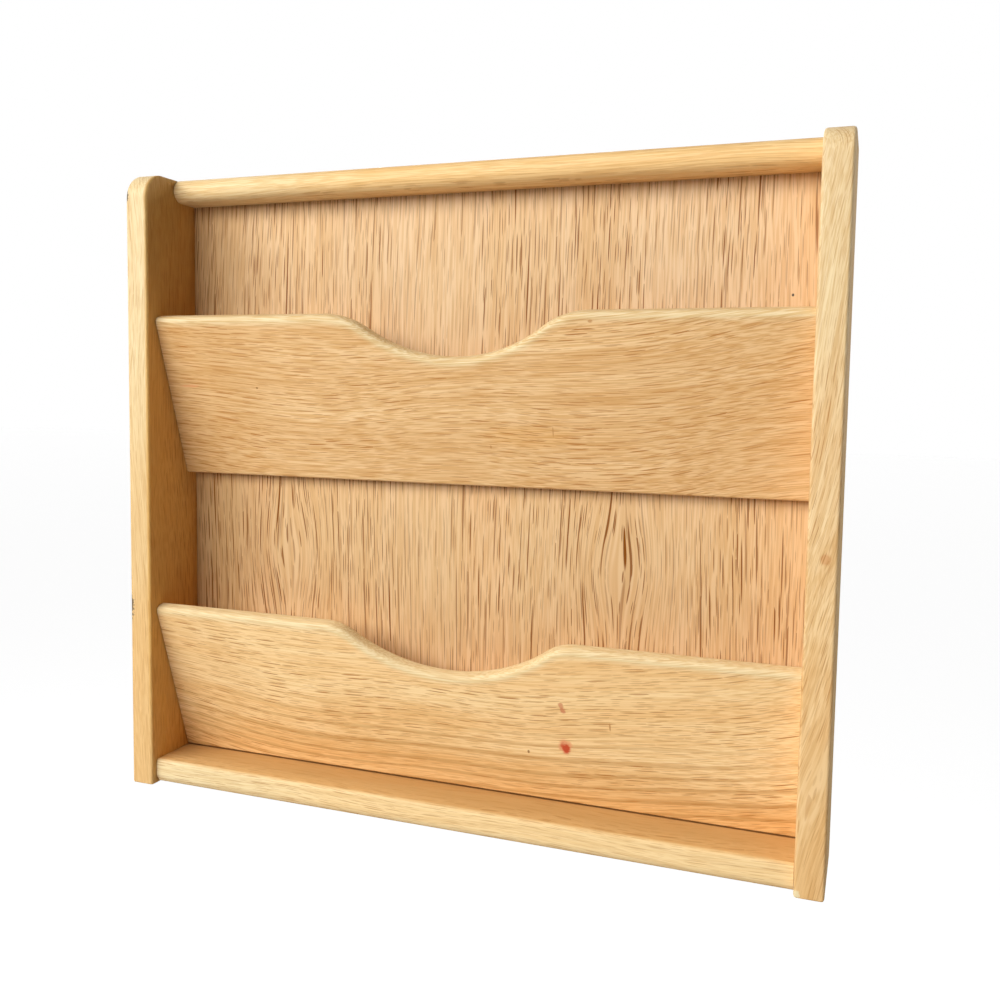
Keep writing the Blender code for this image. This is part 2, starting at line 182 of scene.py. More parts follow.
# %% Lamps
LAMP_TARGET = Vector((0.0, -0.02, -0.18))
for name, place, width, height, watts in (
    ("window", (-0.97, -1.78, 0.715), 2.5, 1.2, 70.0),
    ("bounce", (0.1, -1.1, -1.1), 1.6, 1.0, 1.2),
    ("behind", (-0.55, 1.05, 0.15), 0.8, 0.8, 11.0),
    ("far_side", (1.3, 0.75, 0.25), 0.8, 0.8, 9.0),
):
    lamp = bpy.data.lights.new(name, "AREA")
    lamp.shape = "RECTANGLE"
    lamp.size, lamp.size_y = width, height
    lamp.energy = watts
    stand = put(name, lamp)
    stand.location = place
    stand.rotation_euler = (LAMP_TARGET - Vector(place)).to_track_quat("-Z", "Y").to_euler()
    print("lamp", name, watts, "W")

# %% World
FILL = 0.01
WHITE = (1.0, 1.0, 1.0, 1.0)
bpy.context.scene.view_settings.view_transform = "Standard"
world = bpy.data.worlds.new("studio")
bpy.context.scene.world = world
world.use_nodes = True
world.node_tree.nodes.clear()
net = Net(world.node_tree)
rays = net.node("ShaderNodeLightPath").outputs
seen = net.math("MAXIMUM", rays["Is Camera Ray"], rays["Is Glossy Ray"])
seen = net.math("MAXIMUM", seen, rays["Is Transmission Ray"])
strength = net.node("ShaderNodeMapRange", {"Value": seen, "To Min": FILL, "To Max": 1.0}).outputs[0]
glow = net.node("ShaderNodeBackground", {"Color": WHITE, "Strength": strength})
net.node("ShaderNodeOutputWorld", {"Surface": glow.outputs[0]})
print("world: white to the eye,", FILL, "as light")

# %% [markdown]
# ## What wood grain is made of
# A lacquered board shows pale and dark bands, a fine fibre, rings, short brown strokes where the saw
# cut through pores, and marks. All of it sways along the board and bends round a knot. A picture of
# wood would repeat on every board and end at its edges. So each becomes a node group that works in
# "grain space": metres, with X along the grain. They are solid patterns, so an edge shows the same
# wood as the face beside it.

# %% A shader group with named inputs
ORIGIN = (0.0, 0.0, 0.0)


def add_socket(tree, label, kind, way="INPUT"):
    return tree.interface.new_socket(label, in_out=way, socket_type="NodeSocket" + kind)


def add_inputs(tree, inputs):
    for label, value in inputs.items():
        kind = "Vector" if isinstance(value, tuple) else "Float"
        add_socket(tree, label.replace("_", " "), kind).default_value = value
    print(tree.name, "with", ", ".join(inputs))


def named(sockets):
    return SimpleNamespace(**{s.name.replace(" ", "_"): s for s in sockets if s.name})


def new_group(name, output, **inputs):
    """A group with one output; returns it with its net, its inputs and the output to feed."""
    tree = bpy.data.node_groups.new(name, "ShaderNodeTree")
    add_inputs(tree, inputs)
    add_socket(tree, output, "Vector" if output == "Vector" else "Float", "OUTPUT")
    net = Net(tree)
    given = named(net.node("NodeGroupInput").outputs)
    return tree, net, given, net.node("NodeGroupOutput").inputs[0]


# %% [markdown]
# ### Sway
# No tree grows quite straight, so the grain drifts along a board, and on the pocket fronts it bows.
# A slow noise and a parabola move the coordinates of all the later patterns together.

# %% Sway of the grain
SWAY_ACROSS = 1.8
DRIFT_GAIN = (0.0, 4.0, 4.0)
grain_sway, net, given, result = new_group(
    "grain_sway", "Vector", Vector=ORIGIN, Sway=0.004, Reach=0.14, Bow=0.0, Bow_Middle=0.0, Seed=0.0)
place = net.vector("SCALE", given.Vector, net.over(1.0, given.Reach))
place = net.vector("MULTIPLY", place, (1.0, SWAY_ACROSS, SWAY_ACROSS))
place = net.vector("ADD", place, net.combine(given.Seed, given.Seed))
drift = net.vector("SUBTRACT", net.noise(place, 0.0, "Color"), (0.5, 0.5, 0.5))
drift = net.vector("SCALE", net.vector("MULTIPLY", drift, DRIFT_GAIN), given.Sway)
along = net.minus(net.split(given.Vector)[0], given.Bow_Middle)
rise = net.times(net.times(along, along), given.Bow)
bowed = net.vector("SUBTRACT", given.Vector, net.combine(y=rise))
net.feed(result, net.vector("ADD", bowed, drift))

# %% [markdown]
# ### Knots
# Grain flows round a knot as water does round a stone. Squeezing the coordinates towards the knot's
# middle, less and less with distance, spreads the pattern apart there, for a knot or for a swirl.

# %% Grain bending round a knot
knot_bend, net, given, result = new_group(
    "knot_bend", "Vector", Vector=ORIGIN, Centre=ORIGIN, Size=(0.03, 0.02, 0.02), Push=0.8)
offset = net.vector("SUBTRACT", given.Vector, given.Centre)
steps = net.vector("LENGTH", net.vector("DIVIDE", offset, given.Size))
reach = net.math("EXPONENT", net.times(net.times(steps, steps), -1.0))
squeeze = net.vector("MULTIPLY", offset, (0.0, -1.0, -1.0))
squeeze = net.vector("SCALE", squeeze, net.times(reach, given.Push))
net.feed(result, net.vector("ADD", given.Vector, squeeze))

# %% [markdown]
# ### Bands and fibre
# Broad bands and fine fibre are the same thing at two sizes: spots that are far longer than wide.
# A noise whose coordinates are divided by a length and a width gives both.

# %% Noise drawn out along the grain
drawn_noise, net, given, result = new_group(
    "drawn_noise", "Value", Vector=ORIGIN, Length=0.3, Width=0.01, Softness=0.2, Seed=0.0)
cell = net.combine(given.Length, given.Width, given.Width)
place = net.vector("DIVIDE", given.Vector, cell)
place = net.vector("ADD", place, net.combine(given.Seed, given.Seed, given.Seed))
lower = net.minus(0.5, given.Softness)
upper = net.plus(0.5, given.Softness)
net.feed(result, net.between(net.noise(place), lower, upper))

# %% [markdown]
# ### Growth rings
# Low on the lower pocket front the rings show as wavering dark lines. A sine wave across the grain
# keeps them a fixed distance apart, and a slow noise added to it makes them waver.

# %% Growth rings
RING_STRETCH = (4.0, 30.0, 30.0)
RING_EDGE = (0.3, 1.0)
growth_rings, net, given, result = new_group(
    "growth_rings", "Mask", Vector=ORIGIN, Spacing=0.008, Waver=3.0, Seed=0.0)
place = net.vector("ADD", net.vector("MULTIPLY", given.Vector, RING_STRETCH),
                   net.combine(given.Seed, given.Seed))
waver = net.times(net.minus(net.noise(place), 0.5), given.Waver)
count = net.over(net.split(given.Vector)[1], given.Spacing)
wave = net.math("SINE", net.times(net.plus(count, waver), 2 * math.pi))
net.feed(result, net.between(wave, *RING_EDGE))

# %% [markdown]
# ### Pores
# The pores are what tells this wood from others: crisp strokes of uneven length and darkness. Noise
# would give soft smears. A Voronoi pattern with long narrow cells gives one point to a cell, and the
# distance from it, measured in strokes, draws a stroke. The depth into the board is added to the
# direction across, so that an edge gets strokes of its own.

# %% Pore strokes
STROKE_FILL = 2.1
STROKE_SIZES = (0.45, 1.0)
STROKE_EDGE = (1.0, 0.6)
pore_strokes, net, given, result = new_group(
    "pore_strokes", "Mask", Vector=ORIGIN, Length=0.014, Spacing=0.0018, Weight=0.2,
    Depth_Skew=0.8, Faint=0.4, Seed=0.0)
axes = net.split(given.Vector)
across = net.plus(axes[1], net.times(axes[2], given.Depth_Skew))
cell = net.combine(net.over(axes[0], given.Length), net.over(across, given.Spacing))
cell = net.vector("ADD", cell, net.combine(given.Seed, given.Seed))
cells = net.node("ShaderNodeTexVoronoi", {"Vector": cell, "Scale": 1.0}, voronoi_dimensions="2D")
offset = net.vector("SUBTRACT", cell, cells.outputs["Position"])
thin = net.over(1.0, given.Weight)
steps = net.vector("LENGTH", net.vector("MULTIPLY", offset, net.combine(STROKE_FILL, thin)))
luck = net.split(cells.outputs["Color"])
size = net.between(luck[0], 0.0, 1.0, *STROKE_SIZES)
stroke = net.between(net.over(steps, size), *STROKE_EDGE)
darkness = net.between(luck[1], 0.0, 1.0, given.Faint, 1.0)
net.feed(result, net.times(stroke, darkness))

# %% [markdown]
# ### Blots
# A stain, a nick, the heart of a knot or a broad change of tone is a round patch with a ragged rim.
# It is the distance from a middle, measured in the patch's own size and disturbed by a noise.

# %% Blots
RAGGED_GAIN = 3.0
BLOT_EDGE = (1.1, 0.55)
blot, net, given, result = new_group(
    "blot", "Mask", Vector=ORIGIN, Centre=ORIGIN, Size=(0.01, 0.01, 0.01), Ragged=0.3, Grit=0.002)
offset = net.vector("DIVIDE", net.vector("SUBTRACT", given.Vector, given.Centre), given.Size)
grit = net.noise(net.vector("SCALE", given.Vector, net.over(1.0, given.Grit)), 2.0)
ragged = net.times(given.Ragged, RAGGED_GAIN)
ragged = net.times(net.minus(grit, 0.5), ragged)
rim = net.plus(net.vector("LENGTH", offset), ragged)
net.feed(result, net.between(rim, *BLOT_EDGE))

# %% [markdown]
# ## Satin lacquer
# One thin clear lacquer covers all the wood that shows. It could be a second shader on top, but the
# Principled shader has a coat of its own. What is the same all over is set on the shader's sockets,
# and what varies is linked: the lacquer is duller on the fibre and in the pores, and a Bump lets it
# dip into each pore.

# %% Materials and their lacquer
SATIN, FIBRE_DULLNESS, PORE_DULLNESS = 0.5, 0.1, 0.25
PORE_RELIEF, PORE_DEPTH = 0.1, 0.0002
LACQUER = dict(Specular_IOR_Level=0.15, Coat_Weight=0.1, Coat_Roughness=0.35)


def new_material(name):
    material = bpy.data.materials.new(name)
    material.use_nodes = True
    tree = material.node_tree
    return material, Net(tree), tree.nodes["Principled BSDF"]


def lacquer(net, surface, colour, fibre, pores, fibre_relief=0.0, matt=None):
    """Feeds the shader with the grain, under lacquer; `matt` is a mask of where there is none."""
    rough = net.times(fibre, FIBRE_DULLNESS)
    rough = net.plus(rough, net.times(pores, PORE_DULLNESS))
    rough = net.plus(rough, SATIN)
    if matt:
        rough = net.math("MAXIMUM", rough, matt)
    height = net.minus(net.times(fibre, fibre_relief), pores)
    relief = net.node("ShaderNodeBump", {"Height": height, "Strength": PORE_RELIEF, "Distance": PORE_DEPTH})
    net.fill(surface, Base_Color=colour, Roughness=rough, Normal=relief.outputs[0], **LACQUER)


print("lacquer:", LACQUER)

# %% [markdown]
# ## Rubberwood
# Rubberwood is a pale timber, straw to honey in colour, with short brown pore strokes. Every solid
# board is cut from it, but no two are alike. Six materials by hand would repeat the same thirty
# nodes, so one function builds them from each board's grain direction, seed, tones and marks. Broad
# tones go under the grain and small marks over it; some of them are painted light or shade, as said
# board by board. Where an attribute of the mesh marks a sanded edge, the wood is paler, partly from
# sanding and partly as a painted highlight.

# %% Where the grain runs, and patches of colour
GRAIN_ORDER = {"x": (0, 2, 1), "z": (2, 0, 1)}
BROAD_GRIT, FINE_GRIT = 0.4, 0.9


def grain_space(net, along, tilt=ORIGIN):
    """Object coordinates with X along the grain, after a small turn of the board in its log."""
    spot = net.node("ShaderNodeTexCoord").outputs["Object"]
    turned = net.node("ShaderNodeMapping", {"Vector": spot, "Rotation": tilt}).outputs[0]
    axes = net.split(turned)
    return spot, net.combine(*(axes[i] for i in GRAIN_ORDER[along]))


def in_grain(spot, along, tilt):
    """The place in grain space of a point on the board."""
    turned = Euler(tilt).to_matrix() @ Vector(spot)
    return tuple(turned[i] for i in GRAIN_ORDER[along])


def paint(net, spot, colour, patches, grit):
    """Lays patches over a colour, each given by its tone, centre, size, raggedness and strength."""
    for tone, centre, size, ragged, strength in patches:
        area = net.use(blot, spot, Centre=centre, Size=size, Ragged=ragged, Grit=grit(size))
        colour = net.blend(net.times(area, strength), colour, tone)
    return colour


print("grain runs along", list(GRAIN_ORDER))

# %% The rubberwood material
CREAM = (0.855, 0.725, 0.44)
RING_TAN = (0.62, 0.35, 0.12)
PORE_BROWN = (0.41, 0.14, 0.016)
FIBRE_SHADE = (0.8, 0.66, 0.46)
UNSHADED = (1.0, 1.0, 1.0)
BAND_STRETCH = 30
FIBRE_RELIEF = 0.15
SANDED_SHEEN_PALENESS, SANDED_SHEEN_PORES, QUIET_PORES = 0.65, 0.5, 0.55
SHORT_LENGTH, SHORT_SPACING, SHORT_DEPTH = 0.55, 0.7, 0.7
MATT_FADE = 0.0004
BAND_SEED, FIBRE_SEED, ZONE_SEED, SHORT_SEED = 3.1, 5.7, 8.3, 11.9


def rubberwood(name, along, seed, pale, dark, tilt=ORIGIN, sway=0.004, bow=(0.0, 0.0), band=0.012,
               pore=(0.019, 0.0018), weight=0.18, depth=0.85, skew=0.8, silk=0.8, matt_from=None,
               rings=(0.15, 1.0, 2.0), tones=(), marks=(), knots=()):
    material, net, surface = new_material("rubberwood_" + name)
    spot, space = grain_space(net, along, tilt)
    for centre, size, push in knots:
        centre = in_grain(centre, along, tilt)
        space = net.use(knot_bend, space, Centre=centre, Size=size, Push=push)
    flow = net.use(grain_sway, space, Sway=sway, Bow=bow[0], Bow_Middle=bow[1], Seed=seed)
    bands = net.use(drawn_noise, flow, Length=band * BAND_STRETCH, Width=band, Seed=seed + BAND_SEED)
    fibre = net.use(drawn_noise, flow, Length=0.045, Width=0.0007, Softness=0.13,
                    Seed=seed + FIBRE_SEED)
    zone = net.use(drawn_noise, flow, Length=0.2, Width=0.022, Seed=seed + ZONE_SEED)
    sanded = net.node("ShaderNodeAttribute", attribute_name="sanded").outputs["Fac"]

    colour = paint(net, spot, net.blend(bands, pale, dark), tones, lambda size: BROAD_GRIT * max(size))
    ring_amount, ring_full, ring_none = rings
    ring_area = net.between(net.split(spot)[2], ring_none, ring_full, 0.0, ring_amount)
    ring = net.times(net.use(growth_rings, flow, Seed=seed), ring_area)
    colour = net.blend(ring, colour, RING_TAN)
    # Partly sanded wear, partly a painted highlight: the marked edges are made paler.
    colour = net.blend(net.times(sanded, SANDED_SHEEN_PALENESS), colour, CREAM)
    shade = net.blend(net.times(fibre, silk), UNSHADED, FIBRE_SHADE)
    colour = net.blend(1.0, colour, shade, "MULTIPLY")

    length, spacing = pore
    long_pores = net.use(pore_strokes, flow, Length=length, Spacing=spacing, Weight=weight,
                         Depth_Skew=skew, Seed=seed)
    short_pores = net.use(pore_strokes, flow, Length=length * SHORT_LENGTH, Weight=weight,
                          Spacing=spacing * SHORT_SPACING, Depth_Skew=skew, Seed=seed + SHORT_SEED)
    pores = net.math("MAXIMUM", long_pores, net.times(short_pores, SHORT_DEPTH))
    pores = net.times(pores, net.between(zone, 0.0, 1.0, QUIET_PORES, 1.0))
    pores = net.times(pores, net.between(sanded, 0.0, 1.0, 1.0, SANDED_SHEEN_PORES))
    colour = net.blend(net.times(pores, depth), colour, PORE_BROWN)
    colour = paint(net, spot, colour, marks, lambda size: FINE_GRIT * min(size))

    matt = matt_from and net.between(net.split(spot)[0], matt_from - MATT_FADE, matt_from)
    lacquer(net, surface, colour, fibre, pores, FIBRE_RELIEF, matt)
    print(material.name, "with", len(tones), "tones,", len(marks), "marks and", len(knots), "knots")
    return material


# %% [markdown]
# ## The side boards' wood
# The left board's front carries painted light: cream at the top, fading to honey at the foot. Its inner
# face carries painted shade, browner all over and darker towards the top, and its outer edge has two
# dirty nicks. On the right board the grain runs aslant, as in a plank from
# a bent log, so its grain space is tilted. It has a small red knot and a swirl. Its outer face is
# matt, because at a grazing look it would mirror the white world.

# %% Wood of the sides
AMBER = (0.8, 0.44, 0.14)
INNER_FACE_SHADE = (0.8, 0.465, 0.13)
INNER_TOP_SHADE = (0.6, 0.35, 0.1)
KNOT_RED = (0.62, 0.26, 0.09)
DIRT = (0.06, 0.05, 0.04)
RIGHT_KNOT = (0.2042, -0.058, -0.2015)
RIGHT_OUTER_FACE = 0.2098

LEFT_WOOD = rubberwood(
    "left", "z", 2.0, pale=(0.83, 0.605, 0.31), dark=(0.77, 0.53, 0.25),
    tilt=(0.03, 0.05, 0.0), sway=0.003, depth=0.65, silk=0.4,
    tones=(
        # Painted light: the front is painted cream at the top and honey at the foot.
        (CREAM, (-0.2025, -0.058, 0.01), (0.03, 0.02, 0.2), 0.1, 0.6),
        (AMBER, (-0.2025, -0.058, -0.38), (0.03, 0.02, 0.16), 0.1, 0.4),
        # Painted shade: the inner face is painted browner, and darker still towards its top.
        (INNER_FACE_SHADE, (-0.195, -0.025, -0.18), (0.003, 0.06, 0.3), 0.05, 0.9),
        (INNER_TOP_SHADE, (-0.195, -0.025, 0.01), (0.003, 0.06, 0.11), 0.05, 0.7),
    ),
    marks=(
        (DIRT, (-0.2094, -0.0576, -0.007), (0.0014, 0.003, 0.004), 0.9, 0.8),
        (DIRT, (-0.2092, -0.0576, -0.2588), (0.0018, 0.003, 0.008), 1.0, 0.8),
    ),
)
RIGHT_WOOD = rubberwood(
    "right", "z", 17.0, pale=(0.92, 0.69, 0.388), dark=(0.8, 0.53, 0.252),
    tilt=(0.02, -0.16, 0.0), band=0.006, depth=0.65, silk=0.5, matt_from=RIGHT_OUTER_FACE,
    tones=(
        (KNOT_RED, RIGHT_KNOT, (0.003, 0.004, 0.0032), 0.1, 0.55),
        (CREAM, (0.2025, -0.058, 0.01), (0.03, 0.02, 0.14), 0.1, 0.4),
        (AMBER, (0.2025, -0.058, -0.4), (0.03, 0.02, 0.22), 0.1, 0.35),
    ),
    marks=((CREAM, (0.196, -0.058, -0.3705), (0.003, 0.004, 0.003), 0.5, 0.8),),
    knots=(
        (RIGHT_KNOT, (0.01, 0.005, 0.02), 0.4),
        ((0.202, -0.058, -0.32), (0.026, 0.01, 0.03), 0.8),
    ),
)

# %% [markdown]
# ## The rail's and the shelf's wood
# The strokes of both boards run over a round edge. Too much depth in the direction across would draw
# them out into ovals there, so the skew is small. The rail is quiet, with a painted highlight on its
# left end. The shelf's nose is painted paler as painted light and its top darker as painted shade, and
# a thin line of painted shade lies where the lower pocket front stands on it.

# %% Wood of the rail and the shelf
# Painted light for the shelf's nose, and painted shade for its top.
NOSE_LIGHT = (0.95, 0.7, 0.365)
SHELF_TOP_SHADE = (0.6, 0.36, 0.137)
# Dark brown for small specks of grime, and for thin lines of painted shade where the lower pocket front
# meets the shelf.
GRIME_AND_JOINT_SHADE = (0.24, 0.085, 0.012)
NO_RINGS = (0.0, 1.0, 2.0)

RAIL_WOOD = rubberwood(
    "rail", "x", 33.0, pale=(0.98, 0.7, 0.345), dark=(0.92, 0.61, 0.27),
    weight=0.13, depth=0.6, skew=0.25, silk=0.6, rings=NO_RINGS,
    # Painted highlight: the rail's left end is painted cream, where the light falls strongest.
    tones=((CREAM, (-0.195, -0.02, 0.0), (0.13, 0.04, 0.03), 0.1, 0.5),),
)
SHELF_WOOD = rubberwood(
    "shelf", "x", 43.0, pale=(0.9, 0.62, 0.29), dark=(0.84, 0.55, 0.24),
    depth=0.65, skew=0.35, silk=0.35,
    tones=(
        # Painted light: the shelf's nose is painted paler, palest at its left end.
        (NOSE_LIGHT, (0.0, -0.057, -0.365), (0.4, 0.0062, 0.02), 0.05, 0.85),
        (CREAM, (-0.21, -0.057, -0.365), (0.16, 0.0062, 0.02), 0.05, 0.6),
    ),
    marks=(
        # Painted shade: the top of the shelf is painted darker than its lit nose.
        (SHELF_TOP_SHADE, (0.0, -0.012, -0.357), (0.6, 0.0435, 0.0032), 0.05, 0.8),
        # Painted shade: a thin dark line on the shelf along the foot of the lower pocket front.
        (GRIME_AND_JOINT_SHADE, (0.0, -0.0222, -0.357), (0.6, 0.0011, 0.003), 0.05, 0.8),
    ),
)

# %% [markdown]
# ## The pocket fronts' wood
# Their grain bows upwards in the middle. The lower front shows rings along its foot, and two red
# stains. Stains, scratches and pinholes are set one by one, because they make the rack look used.
# The left ends of both fronts are darkened with painted shade from the left board, and the lower
# front's foot has a thin line of painted shade.

# %% Wood of the pocket fronts
TAN = (0.72, 0.44, 0.19)
KNOT_BROWN = (0.52, 0.23, 0.07)
STAIN_RED = (0.56, 0.065, 0.02)
STAIN_DULL = (0.6, 0.2, 0.085)
STAIN_HALO = (0.8, 0.31, 0.14)
FOOT_RINGS = (0.65, -0.335, -0.295)

UPPER_WOOD = rubberwood(
    "upper", "x", 59.0, pale=(0.89, 0.615, 0.325), dark=(0.82, 0.53, 0.255),
    sway=0.003, bow=(0.3, -0.04),
    tones=(
        (AMBER, (0.0427, -0.0306, -0.1474), (0.03, 0.02, 0.007), 0.2, 0.35),
        # Painted shade at the left end, from the left board; the right end is a little darker too.
        (TAN, (-0.195, -0.037, -0.13), (0.08, 0.06, 0.09), 0.1, 0.6),
        (TAN, (0.17, -0.037, -0.13), (0.08, 0.06, 0.09), 0.1, 0.3),
    ),
    marks=(
        (GRIME_AND_JOINT_SHADE, (-0.1303, -0.0385, -0.1223), (0.0007, 0.002, 0.0007), 0.1, 0.8),
        (KNOT_BROWN, (0.0564, -0.0316, -0.1442), (0.0005, 0.003, 0.0035), 0.2, 0.6),
        (KNOT_BROWN, (0.0186, -0.0286, -0.1538), (0.0008, 0.002, 0.0011), 0.2, 0.7),
        (KNOT_BROWN, (0.0813, -0.0502, -0.085), (0.0014, 0.003, 0.001), 0.3, 0.7),
        (STAIN_HALO, (-0.179, -0.0387, -0.1216), (0.008, 0.003, 0.001), 0.3, 0.4),
    ),
)
LOWER_WOOD = rubberwood(
    "lower", "x", 73.0, pale=(0.98, 0.71, 0.37), dark=(0.93, 0.61, 0.28),
    sway=0.003, bow=(0.38, -0.055), silk=0.55, rings=FOOT_RINGS,
    tones=(
        (AMBER, (0.0, -0.022, -0.372), (0.4, 0.06, 0.05), 0.1, 0.45),
        (AMBER, (-0.034, -0.0352, -0.318), (0.06, 0.04, 0.022), 0.15, 0.2),
        # Painted shade at the left end, from the left board.
        (TAN, (-0.195, -0.039, -0.31), (0.07, 0.06, 0.08), 0.1, 0.3),
    ),
    marks=(
        (STAIN_DULL, (0.0673, -0.0424, -0.2943), (0.0017, 0.003, 0.0022), 0.3, 0.7),
        (STAIN_DULL, (0.0683, -0.0414, -0.2974), (0.0018, 0.003, 0.0022), 0.3, 0.8),
        (STAIN_HALO, (0.0682, -0.0343, -0.3198), (0.0042, 0.004, 0.006), 0.35, 0.8),
        (STAIN_RED, (0.068, -0.0338, -0.321), (0.0032, 0.004, 0.0036), 0.45, 0.95),
        (GRIME_AND_JOINT_SHADE, (0.0458, -0.0322, -0.3265), (0.0008, 0.002, 0.0012), 0.2, 0.8),
        (KNOT_BROWN, (0.0947, -0.0393, -0.3041), (0.0006, 0.003, 0.003), 0.2, 0.8),
        # Painted shade: a thin dark line along the foot, where it stands on the shelf.
        (GRIME_AND_JOINT_SHADE, (0.0, -0.0227, -0.3569), (0.6, 0.02, 0.0007), 0.05, 0.8),
    ),
)

# %% [markdown]
# ## Veneer on the back panel
# The back is thin plywood with an upright face grain. Its pores are longer and darker than those of
# the boards, crowd together in places, and bow round two small knots. One layer of strokes looks too
# even, so three, from long to short, lie over each other. Pinkish bands run through the veneer. Its
# left end is darkened with the painted shadow of the left board, and the panel below the upper pocket
# with painted shade.

# %% The veneer's grain
PLY_KNOTS = (
    ((-0.2248, -0.1241, -0.0115), (0.034, 0.02, 0.1), 0.7),
    ((-0.2218, 0.0914, -0.0115), (0.03, 0.018, 0.1), 0.7),
)
LAYERS = (  # length, spacing, weight, depth, seed
    (0.062, 0.0041, 0.15, 1.0, 21.0),
    (0.034, 0.0027, 0.175, 1.0, 27.0),
    (0.019, 0.0019, 0.185, 0.85, 35.0),
)
FAINTEST = 0.15

veneer, net, surface = new_material("veneer_upright")
spot, space = grain_space(net, "z")
for centre, size, push in PLY_KNOTS:
    space = net.use(knot_bend, space, Centre=centre, Size=size, Push=push)
flow = net.use(grain_sway, space, Sway=0.003, Reach=0.2, Seed=5.0)
crowd = net.use(drawn_noise, flow, Length=0.6, Width=0.03, Seed=4.0)
bands = net.use(drawn_noise, flow, Length=0.5, Width=0.016, Seed=9.0)
fibre = net.use(drawn_noise, flow, Length=0.05, Width=0.001, Softness=0.12, Seed=14.0)
pores = None
for length, spacing, weight, depth, seed in LAYERS:
    layer = net.use(pore_strokes, flow, Length=length, Spacing=spacing, Weight=weight,
                    Faint=FAINTEST, Seed=seed)
    layer = net.times(layer, depth)
    pores = net.math("MAXIMUM", pores, layer) if pores else layer
pores = net.times(pores, net.between(crowd, 0.0, 1.0, QUIET_PORES, 1.0))
print("veneer:", len(PLY_KNOTS), "knots,", len(LAYERS), "layers of strokes")

# %% The veneer's colour
PLY_PALE = (0.795, 0.562, 0.325)
PLY_WARM = (0.74, 0.488, 0.243)
PLY_PINK = (0.825, 0.518, 0.275)
PLY_LEFT_SHADOW = (0.61, 0.375, 0.165)
PLY_PORE = (0.22, 0.065, 0.004)
PLY_SILK = 0.5
STRIPES = (
    # Painted shade: the panel below the upper pocket is darkened.
    (PLY_WARM, (0.0, 0.0, -0.23), (0.25, 1.0, 0.08), 0.2, 0.4),
    (PLY_PALE, (0.14, 0.0, -0.04), (0.06, 1.0, 0.1), 0.2, 0.7),
    (PLY_PINK, (0.18, 0.0, -0.2), (0.022, 1.0, 0.3), 0.2, 0.2),
    (PLY_PINK, (-0.15, 0.0, -0.23), (0.016, 1.0, 0.1), 0.2, 0.5),
    (PLY_PINK, (0.01, 0.0, -0.23), (0.02, 1.0, 0.15), 0.2, 0.35),
    # Painted shadow of the left board on the panel's left end.
    (PLY_LEFT_SHADOW, (-0.2, 0.0, -0.18), (0.07, 1.0, 0.4), 0.2, 0.6),
)
PINHOLE = ((DIRT, (0.1805, -0.0115, -0.0695), (0.0007, 0.002, 0.0009), 0.2, 1.0),)
STRIPE_GRIT, PINHOLE_GRIT = 0.03, 0.002

warmth = net.times(net.plus(bands, crowd), 0.5)
colour = net.blend(warmth, PLY_PALE, PLY_WARM)
colour = paint(net, spot, colour, STRIPES, lambda size: STRIPE_GRIT)
shade = net.blend(net.times(fibre, PLY_SILK), UNSHADED, FIBRE_SHADE)
colour = net.blend(1.0, colour, shade, "MULTIPLY")
colour = net.blend(pores, colour, PLY_PORE)
colour = paint(net, spot, colour, PINHOLE, lambda size: PINHOLE_GRIT)
lacquer(net, surface, colour, fibre, pores)
print("veneer nodes:", len(veneer.node_tree.nodes))

# %% [markdown]
# ## Bare beech and zinc
# The dowels are bare beech, seen only if the rack is taken apart: pale wood with small darker flecks,
# for which the groups above do. The hanger plates and screws are steel with a dull zinc coat. That is
# never one even grey: Voronoi cells give faint crystals, and drawn-out noise gives fine scratches.

# %% The beech and zinc materials
BEECH_PALE = (0.68, 0.48, 0.3)
BEECH_FLECK = (0.43, 0.26, 0.14)
FIBRE_TINT, FLECK_TINT = 0.35, 0.7
BEECH_ROUGH, BEECH_FIBRE_ROUGH = 0.6, 0.15
ZINC_LIGHT = (0.66, 0.67, 0.68)
ZINC_DARK = (0.5, 0.51, 0.53)
ZINC_GLOSS = (0.3, 0.48)
CRYSTALS_PER_METRE = 900.0
SCRATCH_RELIEF, SCRATCH_DEPTH = 0.1, 0.00005

beech, net, surface = new_material("beech_bare")
spot, space = grain_space(net, "x")
fibre = net.use(drawn_noise, space, Length=0.012, Width=0.0005, Seed=3.0)
flecks = net.use(pore_strokes, space, Length=0.004, Spacing=0.0012, Weight=0.25, Seed=6.0)
colour = net.blend(net.times(fibre, FIBRE_TINT), BEECH_PALE, BEECH_FLECK)
colour = net.blend(net.times(flecks, FLECK_TINT), colour, BEECH_FLECK)
rough = net.plus(net.times(fibre, BEECH_FIBRE_ROUGH), BEECH_ROUGH)
net.fill(surface, Base_Color=colour, Roughness=rough)

zinc, net, surface = new_material("zinc_dull")
spot, space = grain_space(net, "z")
crystals = net.node("ShaderNodeTexVoronoi", {"Vector": spot, "Scale": CRYSTALS_PER_METRE})
crystal = net.split(crystals.outputs["Color"])[0]
scratch = net.use(drawn_noise, space, Length=0.02, Width=0.0002, Seed=12.0)
mottle = net.times(net.plus(crystal, scratch), 0.5)
colour = net.blend(mottle, ZINC_LIGHT, ZINC_DARK)
gloss = net.between(mottle, 0.0, 1.0, *ZINC_GLOSS)
relief = net.node("ShaderNodeBump", {
    "Height": scratch, "Strength": SCRATCH_RELIEF, "Distance": SCRATCH_DEPTH})
net.fill(surface, Base_Color=colour, Roughness=gloss, Normal=relief.outputs[0], Metallic=1.0)
print("small woods and metals:", beech.name, zinc.name)

# %% [markdown]
# ## From a tree to a plain mesh
# Geometry Nodes and other modifiers are recipes. The export wants plain meshes, so every piece is
# cooked once: Blender evaluates the object, the result becomes its mesh, and the modifiers go. With
# weighted normals the big flat faces decide the shading, and only the rounded edges turn the light.

